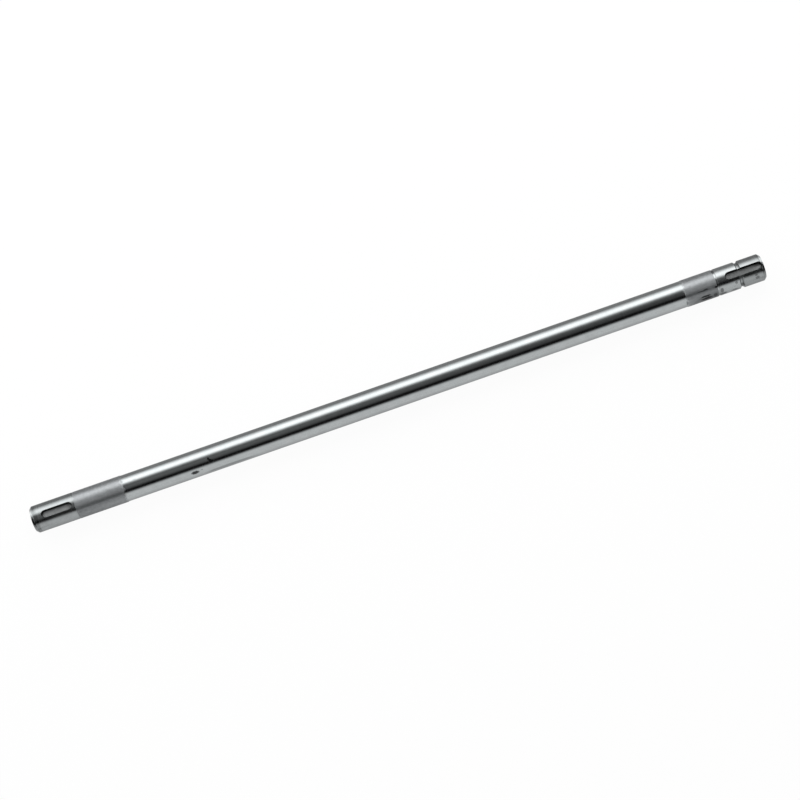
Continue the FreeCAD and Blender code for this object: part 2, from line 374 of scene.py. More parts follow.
def build_shaft(turned, milled):
    """The shaft as one piece, in metres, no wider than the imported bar."""
    points = rounded_outline(outline_corners())
    mesh = cut_keyways(turned_bar(points))
    set_normals(mesh, points)
    kinds = read_array(mesh.polygons, "material_index", np.int32)
    mesh.materials.clear()
    mesh.polygons.foreach_set("material_index", (kinds != TURNED).astype(np.int32))
    low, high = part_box(NODE)
    widest = INSIDE * min(high.y - low.y, high.z - low.z) / 2
    slimmer = widest / SEAT_RADIUS
    shorter = INSIDE * (high.x - low.x) / 2 / HALF_LENGTH
    mesh.transform(Matrix.Diagonal((shorter, slimmer, slimmer, 1)))
    return add_object("shaft", mesh, (turned, milled))


# Materials

def white(value):
    """A grey of one brightness as a colour."""
    return (value, value, value, 1.0)


class Nodes:
    """A material's node tree, written as sums."""

    def __init__(self, name):
        self.material = bpy.data.materials.new(name)
        self.material.use_nodes = True
        self.tree = self.material.node_tree
        self.tree.nodes.clear()

    def node(self, kind, inputs=None, **settings):
        made = self.tree.nodes.new("ShaderNode" + kind)
        for name, value in settings.items():
            setattr(made, name, value)
        for name, value in (inputs or {}).items():
            if isinstance(value, bpy.types.NodeSocket):
                self.tree.links.new(value, made.inputs[name])
            else:
                made.inputs[name].default_value = value
        return made

    def math(self, operation, *values):
        return self.node("Math", dict(enumerate(values)), operation=operation).outputs[0]

    def add(self, *values):
        total = values[0]
        for value in values[1:]:
            total = self.math("ADD", total, value)
        return total

    def times(self, *values):
        product = values[0]
        for value in values[1:]:
            product = self.math("MULTIPLY", product, value)
        return product

    def less(self, value, taken):
        return self.math("SUBTRACT", value, taken)

    def mix(self, factor, first, second):
        """A value between two, by a factor from 0 to 1."""
        inputs = {0: factor, 2: first, 3: second}
        return self.node("Mix", inputs, data_type="FLOAT").outputs[0]

    def blend(self, factor, first, second, how="MIX"):
        """A colour between two, or of two, by a factor from 0 to 1."""
        inputs = {0: factor, 6: first, 7: second}
        return self.node("Mix", inputs, data_type="RGBA", blend_type=how).outputs[2]

    def scaled(self, colour, factor):
        """A colour times a value."""
        return self.blend(1.0, colour, self.vector(factor, factor, factor), "MULTIPLY")

    def fade(self, value, start, end, low=0.0, high=1.0):
        """A soft step from low to high while the value goes from start to end."""
        inputs = {"Value": value, "From Min": start, "From Max": end, "To Min": low, "To Max": high}
        made = self.node("MapRange", inputs, interpolation_type="SMOOTHSTEP")
        return made.outputs["Result"]

    def zone(self, value, start, end, soft_start, soft_end):
        """1 between two places, with a soft edge of a width of its own at each."""
        rise = self.fade(value, start - soft_start / 2, start + soft_start / 2)
        fall = self.fade(value, end - soft_end / 2, end + soft_end / 2, 1.0, 0.0)
        return self.times(rise, fall)

    def vector(self, x, y, z):
        return self.node("CombineXYZ", {"X": x, "Y": y, "Z": z}).outputs[0]

    def noise(self, vector, scale, detail, roughness):
        inputs = {"Vector": vector, "Scale": scale, "Detail": detail, "Roughness": roughness}
        return self.node("TexNoise", inputs).outputs["Fac"]

    def bump(self, height, distance):
        inputs = {"Strength": 1.0, "Distance": distance, "Height": height}
        return self.node("Bump", inputs).outputs[0]

    def finish(self, shader):
        self.node("OutputMaterial", {"Surface": shader})
        return self.material


class SteelNodes(Nodes):
    """Nodes of the shaft, with its place in millimetres, its radius and its turn."""

    def __init__(self, name):
        super().__init__(name)
        coordinates = self.node("TexCoord").outputs["Object"]
        self.spot = self.node(
            "VectorMath", {0: coordinates, "Scale": 1 / MM}, operation="SCALE"
        ).outputs[0]
        self.x, self.y, self.z = self.node("SeparateXYZ", {0: self.spot}).outputs
        across = self.add(self.times(self.y, self.y), self.times(self.z, self.z))
        self.radius = self.math("SQRT", across)
        self.turn = self.math("ARCTAN2", self.y, self.z)

    def pattern(self, noise):
        """A noise in the steel."""
        return self.noise(self.spot, *noise)

    def lines(self, stretch, noise):
        """A noise stretched into lines, by its fineness along the bar and across it."""
        along, across = stretch
        vector = self.vector(
            self.times(self.x, along), self.times(self.y, across), self.times(self.z, across)
        )
        return self.noise(vector, *noise)

    def swing(self, value):
        """A noise that swings about nought."""
        return self.less(value, 0.5)

    def turns(self, degrees, softness):
        """1 between two turns of the bar."""
        start, end = [math.radians(degree) for degree in degrees]
        return self.zone(self.turn, start, end, softness, softness)

    def turn_fade(self, degrees):
        """A soft step from one turn of the bar to another."""
        return self.fade(self.turn, *[math.radians(degree) for degree in degrees])


# Noises in the steel: scale, detail and roughness
CLOUDS = (0.12, 4.0, 0.6)
TINT_CLOUDS = (0.09, 2.0, 0.5)
PATCHES = (0.3, 3.0, 0.6)
GRAIN = (6.0, 3.0, 0.7)
SEAT_EDGE_WAVES = (0.25, 3.0, 0.6)
RING_PATCHES = (0.15, 2.0, 0.6)
STAIN_EDGES = (0.9, 3.0, 0.6)
FINE_RINGS = (1.0, 2.0, 0.6)
BROAD_RINGS = (1.0, 1.5, 0.5)
STREAKS = (1.0, 2.0, 0.6)
# How fine the last three are along the bar and across it
FINE_RINGS_STRETCH = (5.0, 0.15)
BROAD_RINGS_STRETCH = (0.9, 0.03)
STREAKS_STRETCH = (0.02, 3.0)

# Where the finishes and the painted shade change: distances in millimetres, turns from the top
# towards +Y in degrees
CRISP = 0.1
SEAT_EDGE_REACH = 9.0
SEAT_FADES_INSIDE = 1.5
SEAT_FADES_OUTSIDE = 2.5
LEFT_RINGS_FROM_END = (14.0, 7.0)
RIGHT_RINGS_FROM_END = (9.0, 5.0)
DARK_RING_FROM_END = (3.0, 6.5)
DARK_RING_SOFTNESS = (1.5, 4.0)
DARK_RING_PATCHES = (0.3, 0.6, 0.5, 1.2)
# Painted shade on the run-out of the relief, over these turns
RUN_OUT_FROM_SHOULDER = (1.7, 2.7)
RUN_OUT_SOFTNESS = 0.5
RUN_OUT_TURNS = (-30, 3)
RUN_OUT_TURN_SOFTNESS = 0.1
# Painted shade on the end chamfers, over these turns
END_EDGE_FROM_END = (3.4, 2.6)
END_EDGE_TURNS = (-31, -4)
END_EDGE_TURN_SOFTNESS = 0.12
# Painted shade and more roughness deeper than these depths: in the groove, on the end faces and low
# on the end chamfers
RECESS_DEPTHS = (0.55, 0.9)
UNDERSIDE_TURNS = (-32, -48)
UNDERSIDE_FROM_SHOULDER = (5.0, 45.0)
UNDERSIDE_TONES = (-0.28, -0.17)
# Painted shade low on the near side of the right seat, in blotches
RIGHT_UNDERSIDE_TURNS = (-38, -58)
RIGHT_UNDERSIDE_FROM_SEAT = (2.0, 14.0)
RIGHT_UNDERSIDE_FROM_SHOULDER = (-1.0, 7.0)
RIGHT_UNDERSIDE_BEYOND = 0.15
RIGHT_UNDERSIDE_CLOUDS = (0.8, 1.5)

# Roughness of the polished body, and what each finish adds to it
POLISHED_ROUGHNESS = 0.15
ROUGHER = {
    "matte": 0.35, "left_key": 0.05, "right_key": 0.03, "right_tip": 0.03, "shaded_recess": 0.12,
    "stain": 0.25,
}
ROUGHNESS_OF_CLOUDS = (0.08, 0.2)
ROUGHNESS_OF_RINGS = 0.35
ROUGHNESS_OF_STREAKS = 0.05

# Tone of the steel, and what each finish or painted shade takes off it. Pairs are for polished and
# matte steel
POLISHED_TONES = ((0.425, 0.46, 0.465, 1.0), (0.44, 0.45, 0.455, 1.0))
MATTE_TONE = (0.4, 0.418, 0.428, 1.0)
STAIN_TONE = (0.025, 0.025, 0.026, 1.0)
DARKER = {
    "left_key": -0.24, "right_key": -0.08, "right_tip": -0.18, "dark_ring": -0.18,
    # Painted shade on the run-out, the end chamfers and the recesses, and low on the right seat
    "run_out_shade": -0.5, "end_edge_shade": -0.42, "shaded_recess": -0.15, "right_underside_shade": -0.42,
}
TONE_OF_CLOUDS = (0.25, 0.4)
TONE_OF_PATCHES = (0.1, 0.45)
TONE_OF_RINGS = 0.7
TONE_OF_GRAIN = 0.12

# Relief of the steel, in parts of the bump's distance in metres
HEIGHT_OF_FINE_RINGS = (0.25, 0.8)
HEIGHT_OF_GRAIN = (0.05, 0.6)
HEIGHT_OF_BROAD_RINGS = 0.8
HEIGHT_OF_STAIN = -1.5
TURNED_BUMP = 4e-6

# How metallic the steel is, and how far the matte blur is stretched, with its turn along the bar
METALLIC = (1.0, 0.88)
MATTE_STRETCH = 0.95
MATTE_TURN = 0.25

# The marks that the bar carries: place along it, turn from the top towards +Y in degrees,
# half length along the bar, half width round it, how dark, and how ragged
MARKS = [
    (-312.0, 21.0, 1.2, 1.6, 0.15, 0.8),
    (-298.7, 13.5, 2.2, 0.9, 0.14, 0.8),
    (-234.1, -48.0, 4.3, 2.3, 0.93, 0.45),
    (-226.0, -44.0, 1.3, 0.8, 0.35, 0.6),
    (-215.9, -8.0, 1.4, 1.9, 0.98, 0.25),
    (-214.6, -15.5, 1.7, 1.7, 0.98, 0.25),
    (-213.6, -21.0, 3.4, 1.7, 0.98, 0.3),
    (-214.4, -70.0, 5.0, 1.2, 0.4, 0.6),
    (-194.5, -70.0, 28.0, 2.4, 0.35, 0.3),
    (326.6, -58.0, 0.9, 3.5, 0.45, 0.6),
    (347.6, -54.0, 5.4, 1.2, 0.95, 0.5),
    (348.8, -68.5, 6.2, 2.0, 0.95, 0.6),
    (346.4, -26.0, 7.5, 0.65, 0.65, 0.5),
    (349.3, -24.5, 2.4, 1.0, 0.75, 0.6),
    (361.2, -27.5, 2.2, 1.2, 0.97, 0.6),
    (363.0, 44.0, 1.5, 3.4, 0.75, 0.5),
    (358.9, -65.0, 2.6, 2.8, 0.55, 0.9),
    (366.5, -54.0, 1.8, 3.8, 0.6, 0.9),
    (367.5, -76.0, 4.2, 2.5, 0.7, 0.8),
    (380.5, -76.0, 4.5, 1.8, 0.55, 0.8),
    (383.6, -39.0, 1.4, 2.2, 0.45, 0.9),
    (390.4, -66.0, 1.9, 3.2, 0.6, 0.6),
    (390.0, 42.0, 1.9, 2.2, 0.25, 0.5),
    (406.3, -36.0, 1.5, 1.5, 0.45, 0.8),
    (407.0, -50.0, 2.5, 2.0, 0.5, 0.9),
]
# A mark fades out between these shares of its half length and half width
MARK_EDGE = (1.2, 0.7)


def stain_mask(steel):
    """Where the oily marks and the small nick lie."""
    ragged = steel.swing(steel.pattern(STAIN_EDGES))
    total = None
    for place, degrees, half_length, half_width, depth, rough in MARKS:
        along = steel.times(steel.less(steel.x, place), 1 / half_length)
        round_it = steel.less(steel.turn, math.radians(degrees))
        around = steel.times(round_it, SEAT_RADIUS / half_width)
        square = steel.add(steel.times(along, along), steel.times(around, around))
        away = steel.add(steel.math("SQRT", square), steel.times(ragged, 2 * rough))
        mark = steel.fade(away, *MARK_EDGE, 0.0, depth)
        total = mark if total is None else steel.math("MAXIMUM", total, mark)
    return total


def matte_zone(steel):
    """The two ground seats, crisp at the shoulder and wavy towards the body."""
    wave = steel.swing(steel.pattern(SEAT_EDGE_WAVES))
    wavy = steel.add(steel.x, steel.times(wave, SEAT_EDGE_REACH))
    left_run_out = (LEFT_SEAT_END - SEAT_FADES_INSIDE, LEFT_SEAT_END + SEAT_FADES_OUTSIDE)
    right_run_out = (RIGHT_SEAT_START - SEAT_FADES_OUTSIDE, RIGHT_SEAT_START + SEAT_FADES_INSIDE)
    left = steel.times(
        steel.fade(steel.x, LEFT_SHOULDER - CRISP, LEFT_SHOULDER),
        steel.fade(wavy, *left_run_out, 1.0, 0.0),
    )
    right = steel.times(
        steel.fade(steel.x, RIGHT_SHOULDER, RIGHT_SHOULDER + CRISP, 1.0, 0.0),
        steel.fade(wavy, *right_run_out),
    )
    return steel.add(left, right)


def turned_zones(steel, clouds):
    """Where each finish, mark, dark ring and painted shade of the turned surfaces lies."""
    x = steel.x
    dark_ring = steel.times(
        steel.zone(x, *[-HALF_LENGTH + reach for reach in DARK_RING_FROM_END], *DARK_RING_SOFTNESS),
        steel.fade(steel.pattern(RING_PATCHES), *DARK_RING_PATCHES),
    )
    # Painted shade on the run-out of the relief, over some turns
    run_out_places = [RIGHT_SHOULDER + reach for reach in RUN_OUT_FROM_SHOULDER]
    run_out_shade = steel.times(
        steel.zone(x, *run_out_places, RUN_OUT_SOFTNESS, RUN_OUT_SOFTNESS),
        steel.turns(RUN_OUT_TURNS, RUN_OUT_TURN_SOFTNESS),
    )
    # Painted shade on the end chamfers, over some turns
    end_edge_shade = steel.times(
        steel.fade(steel.math("ABSOLUTE", x), *[HALF_LENGTH - reach for reach in END_EDGE_FROM_END]),
        steel.turns(END_EDGE_TURNS, END_EDGE_TURN_SOFTNESS),
    )
    # Painted shade low on the near side of the right seat, in blotches
    right_underside_shade = steel.times(
        steel.turn_fade(RIGHT_UNDERSIDE_TURNS),
        steel.fade(x, *[RIGHT_SEAT_START + reach for reach in RIGHT_UNDERSIDE_FROM_SEAT]),
        steel.fade(x, *[RIGHT_SHOULDER + reach for reach in RIGHT_UNDERSIDE_FROM_SHOULDER], 1.0, RIGHT_UNDERSIDE_BEYOND),
        steel.add(RIGHT_UNDERSIDE_CLOUDS[0], steel.times(clouds, RIGHT_UNDERSIDE_CLOUDS[1])),
    )
    return {
        "matte": matte_zone(steel),
        "left_key": steel.fade(x, LEFT_SHOULDER, LEFT_SHOULDER - CRISP),
        "right_key": steel.fade(x, RIGHT_SHOULDER, RIGHT_SHOULDER + CRISP),
        "right_tip": steel.fade(x, GROOVE_MIDDLE, GROOVE_MIDDLE + CRISP),
        "ringed": steel.add(
            steel.fade(x, *[-HALF_LENGTH + reach for reach in LEFT_RINGS_FROM_END]),
            steel.fade(x, *[HALF_LENGTH - reach for reach in RIGHT_RINGS_FROM_END]),
        ),
        # Painted shade, with more roughness, in the groove and on the end faces
        "shaded_recess": steel.fade(steel.radius, *[SEAT_RADIUS - depth for depth in RECESS_DEPTHS]),
        "dark_ring": dark_ring,
        "run_out_shade": run_out_shade,
        "end_edge_shade": end_edge_shade,
        "right_underside_shade": right_underside_shade,
        "stain": stain_mask(steel),
    }


def underside_shade(steel, matte):
    """The ground seats are darker low on their near side, most of all near the left shoulder."""
    places = [LEFT_SHOULDER + reach for reach in UNDERSIDE_FROM_SHOULDER]
    shade = steel.fade(steel.x, *places, *UNDERSIDE_TONES)
    return steel.times(matte, steel.turn_fade(UNDERSIDE_TURNS), shade)


def turned_steel():
    """Polished body, matte ground seats, bright turned key seats, grooves and end faces."""
    steel = SteelNodes("turned_steel")
    clouds = steel.swing(steel.pattern(CLOUDS))
    zones = turned_zones(steel, clouds)
    matte, ringed, stain = zones["matte"], zones["ringed"], zones["stain"]
    fine_rings = steel.lines(FINE_RINGS_STRETCH, FINE_RINGS)
    broad_rings = steel.lines(BROAD_RINGS_STRETCH, BROAD_RINGS)
    ring_swing = steel.swing(broad_rings)
    streaks = steel.swing(steel.lines(STREAKS_STRETCH, STREAKS))
    patches = steel.swing(steel.pattern(PATCHES))
    grain = steel.pattern(GRAIN)

    roughness = steel.add(
        POLISHED_ROUGHNESS,
        *[steel.times(zones[name], more) for name, more in ROUGHER.items()],
        steel.times(clouds, steel.mix(matte, *ROUGHNESS_OF_CLOUDS)),
        steel.times(ring_swing, ringed, ROUGHNESS_OF_RINGS),
        steel.times(streaks, ROUGHNESS_OF_STREAKS),
    )
    # Tone of the steel, with the finishes, marks and painted shade taken off it
    tone_and_painted_light = steel.add(
        1.0,
        *[steel.times(zones[name], taken) for name, taken in DARKER.items()],
        underside_shade(steel, matte),
        steel.times(clouds, steel.mix(matte, *TONE_OF_CLOUDS)),
        steel.times(patches, steel.mix(matte, *TONE_OF_PATCHES)),
        steel.times(ring_swing, ringed, TONE_OF_RINGS),
        steel.times(steel.swing(grain), TONE_OF_GRAIN),
    )
    polished = steel.blend(steel.pattern(TINT_CLOUDS), *POLISHED_TONES)
    tone = steel.scaled(steel.blend(matte, polished, MATTE_TONE), tone_and_painted_light)
    height = steel.add(
        steel.times(fine_rings, steel.mix(matte, *HEIGHT_OF_FINE_RINGS)),
        steel.times(grain, steel.mix(matte, *HEIGHT_OF_GRAIN)),
        steel.times(broad_rings, ringed, HEIGHT_OF_BROAD_RINGS),
        steel.times(stain, HEIGHT_OF_STAIN),
    )
    tangent = steel.node("Tangent", direction_type="RADIAL", axis="X")
    shader = steel.node("BsdfPrincipled", {
        "Base Color": steel.blend(stain, tone, STAIN_TONE),
        "Metallic": steel.mix(matte, *METALLIC),
        "Roughness": roughness,
        "Anisotropic": steel.times(matte, MATTE_STRETCH),
        "Anisotropic Rotation": MATTE_TURN,
        "Tangent": tangent.outputs[0],
        "Normal": steel.bump(height, TURNED_BUMP),
    })
    return steel.finish(shader.outputs[0])


# Noises of the milled steel: scale, detail and roughness, and the arcs of the end mill
MILLED_CLOUDS = (0.35, 3.0, 0.6)
MILLED_GRAIN = (5.0, 3.0, 0.7)
ARC_MARKS = {"Scale": 0.8, "Distortion": 1.2, "Detail": 2.0, "Detail Scale": 1.0}

# Where the keyways are painted darker as shade or lighter as light, in millimetres
CORNER_SHADE_FROM_WALL = (2.4, 0.7)
CORNER_SHADE_ACROSS = (-2.0, 1.5)
CORNER_SHADE_REACH_ACROSS = (0.3, 1.0)
CORNER_SHADE_FROM_END = (9.0, 5.0)
CORNER_SHADE_REACH_AT_END = (0.0, 0.9)
WALL_OVER_FLOOR = (0.3, 1.0)
OUTER_FROM_END = (13.0, 8.0)
OUTER_ACROSS = (-1.2, 1.5)
INNER_PLACES = (-376.0, -370.0)
INNER_SOFTNESS = (4.0, 1.0)
FLOOR_SHADE_ACROSS = (-1.8, 3.0)

# Roughness, tone, painted light and shade, and relief of the milled steel
MILLED_ROUGHNESS = 0.4
MILLED_ROUGHNESS_OF_CLOUDS = 0.2
MILLED_ROUGHNESS_OF_ARCS = 0.05
MILLED_ROUGHNESS_OF_CORNER_SHADE = 0.1
MILLED_TONE = (0.385, 0.398, 0.4, 1.0)
RIGHT_KEYWAY_TONE = 0.72
INNER_END_SHADE = -0.4
OUTER_END_SHADE = -0.6
FAR_FLOOR_SHADE = 0.55
OUTER_END_LIGHT = 0.3
MILLED_TONE_OF_CLOUDS = 0.4
MILLED_TONE_OF_GRAIN = 0.15
CORNER_SHADE_TONE = -0.8
WALL_SHADE_TONE = -0.4
HEIGHT_OF_ARCS = 0.6
HEIGHT_OF_MILLED_GRAIN = 0.5
MILLED_BUMP = 6e-6


def wall_gap(steel, on_right):
    """How far a spot of a keyway is from its wall, measured level."""
    nearest = []
    for left, right in KEYWAYS.values():
        held = steel.math("MINIMUM", steel.math("MAXIMUM", steel.x, left), right)
        nearest.append(held)
    along = steel.less(steel.x, steel.mix(on_right, *nearest))
    square = steel.add(steel.times(along, along), steel.times(steel.y, steel.y))
    return steel.less(KEYWAY_RADIUS, steel.math("SQRT", square))


def keyway_corner_shade(steel, on_right):
    """Painted shade along the wall, which reaches further out on the far side and at the open end."""
    reach = steel.math(
        "MAXIMUM",
        steel.fade(steel.y, *CORNER_SHADE_ACROSS, *CORNER_SHADE_REACH_ACROSS),
        steel.fade(steel.x, *[HALF_LENGTH - place for place in CORNER_SHADE_FROM_END], *CORNER_SHADE_REACH_AT_END),
    )
    gap = steel.math("DIVIDE", wall_gap(steel, on_right), reach)
    return steel.fade(gap, *CORNER_SHADE_FROM_WALL)


def milled_steel():
    """Keyways: arcs of the end mill on the floor, with painted shade in the corners, on the walls, at
    the ends and towards the far side, and painted light at the open ends.
    """
    steel = SteelNodes("milled_steel")
    on_right = steel.math("GREATER_THAN", steel.x, 0.0)
    arcs = steel.node(
        "TexWave", {"Vector": steel.spot, **ARC_MARKS}, wave_type="BANDS", bands_direction="X"
    ).outputs["Fac"]
    clouds = steel.swing(steel.pattern(MILLED_CLOUDS))
    grain = steel.swing(steel.pattern(MILLED_GRAIN))
    # Painted shade in the corners along the keyway walls
    corner_shade = keyway_corner_shade(steel, on_right)
    # The keyway walls are painted darker as shade
    wall = steel.fade(steel.z, *[KEYWAY_FLOOR + rise for rise in WALL_OVER_FLOOR])
    from_middle = steel.math("ABSOLUTE", steel.x)
    # The outer ends of the keyways, painted lighter as light
    outer = steel.fade(from_middle, *[HALF_LENGTH - place for place in OUTER_FROM_END])
    # Painted shade on the far side of the right keyway's outer end
    outer_end_shade = steel.times(outer, on_right, steel.fade(steel.y, *OUTER_ACROSS))
    # Painted shade at the inner end of the left keyway
    inner_end_shade = steel.zone(steel.x, *INNER_PLACES, *INNER_SOFTNESS)

    roughness = steel.add(
        MILLED_ROUGHNESS,
        steel.times(clouds, MILLED_ROUGHNESS_OF_CLOUDS),
        steel.times(arcs, MILLED_ROUGHNESS_OF_ARCS),
        steel.times(corner_shade, MILLED_ROUGHNESS_OF_CORNER_SHADE),
    )
    ends = steel.add(
        1.0,
        steel.times(inner_end_shade, INNER_END_SHADE),
        steel.times(outer_end_shade, OUTER_END_SHADE),
    )
    # Painted light at the outer ends, and tone that differs at random
    lit_ends_and_unevenness = steel.add(
        1.0,
        steel.times(outer, OUTER_END_LIGHT),
        steel.times(clouds, MILLED_TONE_OF_CLOUDS),
        steel.times(grain, MILLED_TONE_OF_GRAIN),
    )
    tone_and_painted_light = steel.times(
        steel.mix(on_right, 1.0, RIGHT_KEYWAY_TONE),
        ends,
        # Painted shade towards the far wall of each keyway
        steel.fade(steel.y, *FLOOR_SHADE_ACROSS, 1.0, FAR_FLOOR_SHADE),
        lit_ends_and_unevenness,
        steel.add(1.0, steel.times(corner_shade, CORNER_SHADE_TONE)),
        steel.add(1.0, steel.times(wall, WALL_SHADE_TONE)),
    )
    height = steel.add(
        steel.times(arcs, HEIGHT_OF_ARCS), steel.times(grain, HEIGHT_OF_MILLED_GRAIN)
    )
    shader = steel.node("BsdfPrincipled", {
        "Base Color": steel.scaled(MILLED_TONE, tone_and_painted_light),
        "Metallic": 1.0,
        "Roughness": roughness,
        "Normal": steel.bump(height, MILLED_BUMP),
    })
    return steel.finish(shader.outputs[0])


# Studio

FLOOR_LEVEL = -SEAT_RADIUS * MM
FLOOR_HALF = 14.0
FLOOR_COLOUR = white(1.0)
# Share of its own white that the floor shows the camera, the rest being lit and shaded
WHITENING = 0.95

CAMERA_DISTANCE = 2.6678
CAMERA_TILT = math.radians(10.8)
CAMERA_ROLL = math.radians(19.2)
CAMERA_CLIP = (0.05, 100.0)
# Half the picture in pixels, metres a pixel at the shaft, and where the camera aims
HALF_FRAME = 400
SCALE = 0.0010816
AIM_ALONG = -0.2 * SCALE
AIM_DOWN = 6.9 * SCALE

ARCH_RADIUS = 2.15
ARCH_HALF_LENGTH = 6.0
ARCH_STEPS = 96
# What the arch shows: degrees from the top towards +Y, and brightness
ARCH_TONES = [
    (-90, 0.9), (-80, 0.93), (-70, 0.93), (-62, 0.86), (-56, 0.61), (-51, 0.3), (-46, 0.06),
    (-42, 0.004), (-30, 0.004), (-26, 0.02), (-20, 0.07), (-11, 0.105), (-2, 0.125), (8, 0.155),
    (15, 0.26), (20.5, 0.5), (26.5, 1.05), (32.5, 1.75), (39.5, 2.3), (56, 2.3), (65, 1.85),
    (76, 1.1), (84, 0.7), (90, 0.5),
]
ARCH_STRENGTH = 2.4
# The soft box lies askew on the left, from these turns in radians on
ARCH_SKEW = 0.084
SKEW_TURNS = (0.0, 0.3)
# Overhead it is paler on the left than on the right: degrees, soft edges, places and shares
OVERHEAD_DEGREES = (-30, 4)
OVERHEAD_SOFTNESS = (0.1, 0.15)
OVERHEAD_PLACES = (-0.6, 0.6)
OVERHEAD_DIMMING = (1.5, 0.75)
# What it shows far to the left and the right, which only the ground seats mirror
FAR_TONES = [
    (-90, 0.12), (-75, 0.08), (-62, 0.04), (-50, 0.05), (-42, 0.13), (-33, 0.38), (-24, 0.72),
    (-16, 0.8), (3, 0.97), (24, 1.42), (45, 1.3), (65, 1.25), (90, 1.15),
]
FAR_START = 0.95
FAR_END = 1.4
CAP_TONE = 0.1

LAMP_TURN = math.radians(51.4)
LAMP_DISTANCE = 1.56
LAMP_WIDTH = 1.43
LAMP_LENGTH = 5.4
LAMP_POWER = 46.0
WORLD_LIGHT = 0.5

# Cards on the floor, which only the shaft sees
CARD_LIFT = 0.0002
CARD_START = 0.0165
CARD_END = 2.15
CARD_EDGE = 0.42
FAR_SIDE_TONE = 0.345
FAR_SIDE_SPREAD = 0.8
# The shade in front of the shaft: share of the way out, and brightness
NEAR_SIDE_TONES = [(0.0, 0.36), (0.2, 0.62), (0.467, 0.82), (0.62, 0.91), (1.0, 0.91)]
NEAR_SIDE_FAR_TONE = 0.15
# Half of that way lies within this distance of the shaft
NEAR_SIDE_RANGE = 0.04
FAN_END = 1.5
FAN_HALF_WIDTH = 0.2
# What the fans show: degrees from straight on towards +Y, and brightness
FAN_TONES = [
    (-90, 0.6), (-33, 0.75), (-25, 0.6), (-19, 0.02), (13, 0.02), (19, 1.2), (23, 3.2), (36, 3.2),
    (47, 1.2), (60, 0.45), (90, 0.345),
]
FAN_STRENGTH = 3.3


def seen_white(nodes):
    """1 for rays that show the background: straight to the camera, in metal or through glass."""
    path = nodes.node("LightPath").outputs
    shown = nodes.math("MAXIMUM", path["Is Camera Ray"], path["Is Glossy Ray"])
    return nodes.math("MAXIMUM", shown, path["Is Transmission Ray"])


def add_floor():
    """Pale floor that keeps a light shadow."""
    floor = Nodes("pale_floor")
    plain = floor.node("BsdfDiffuse", {"Color": FLOOR_COLOUR}).outputs[0]
    glow = floor.node("Emission", {"Color": white(1.0), "Strength": 1.0}).outputs[0]
    share = floor.times(seen_white(floor), WHITENING)
    shown = floor.node("MixShader", {0: share, 1: plain, 2: glow}).outputs[0]
    material = floor.finish(shown)
    half = FLOOR_HALF
    mesh = bpy.data.meshes.new("floor")
    corners = [(-half, -half), (half, -half), (half, half), (-half, half)]
    mesh.from_pydata([(x, y, FLOOR_LEVEL) for x, y in corners], [], [(0, 1, 2, 3)])
    add_object("floor", mesh, (material,))


def show_in_metal_only(card):
    """A card that the shaft mirrors, and that neither the camera nor the floor sees."""
    card.visible_camera = False
    card.visible_diffuse = False
    card.visible_transmission = False
    card.visible_volume_scatter = False
    card.visible_shadow = False


def add_card(name, spots, faces, material):
    """A card of the studio that only the shaft sees."""
    mesh = bpy.data.meshes.new(name)
    mesh.from_pydata(spots, [], faces)
    card = add_object(name, mesh, (material,))
    show_in_metal_only(card)


def tone_ramp(card, share, tones, strength):
    """Brightness along a share from 0 to 1, from a list of shares and tones."""
    ramp = card.node("ValToRGB", {0: share})
    stops = ramp.color_ramp.elements
    while len(stops) < len(tones):
        stops.new(0.5)
    for stop, (place, tone) in zip(stops, tones):
        stop.position = place
        stop.color = white(tone / strength)
    return ramp.outputs[0]


def half_turn_share(card, turn):
    """A turn from -90 to 90 degrees as a share from 0 to 1."""
    return card.math("MULTIPLY_ADD", turn, 1 / math.pi, 0.5)


def half_turn_stops(tones):
    """Tones given at degrees from -90 to 90, as stops from 0 to 1."""
    return [(degrees / 180 + 0.5, tone) for degrees, tone in tones]


def glowing(card, colour, strength):
    """Finish a card's material as one that glows in a colour."""
    shader = card.node("Emission", {"Color": colour, "Strength": strength})
    return card.finish(shader.outputs[0])


def arch_material():
    """Dark overhead, a soft box behind and pale in front, with other tones far out."""
    card = Nodes("arch_card")
    place = card.node("TexCoord").outputs["Object"]
    x, y, z = card.node("SeparateXYZ", {0: place}).outputs
    turn = card.math("ARCTAN2", y, z)
    askew = card.times(card.math("MINIMUM", x, 0.0), card.fade(turn, *SKEW_TURNS), ARCH_SKEW)
    share = half_turn_share(card, card.add(turn, askew))
    near = tone_ramp(card, share, half_turn_stops(ARCH_TONES), ARCH_STRENGTH)
    far = tone_ramp(card, share, half_turn_stops(FAR_TONES), ARCH_STRENGTH)
    overhead = [math.radians(degrees) for degrees in OVERHEAD_DEGREES]
    dimming = card.mix(
        card.zone(turn, *overhead, *OVERHEAD_SOFTNESS),
        1.0,
        card.fade(x, *OVERHEAD_PLACES, *OVERHEAD_DIMMING),
    )
    away = card.fade(card.math("ABSOLUTE", x), FAR_START, FAR_END)
    shown = card.blend(away, card.scaled(near, dimming), far)
    return glowing(card, shown, ARCH_STRENGTH)


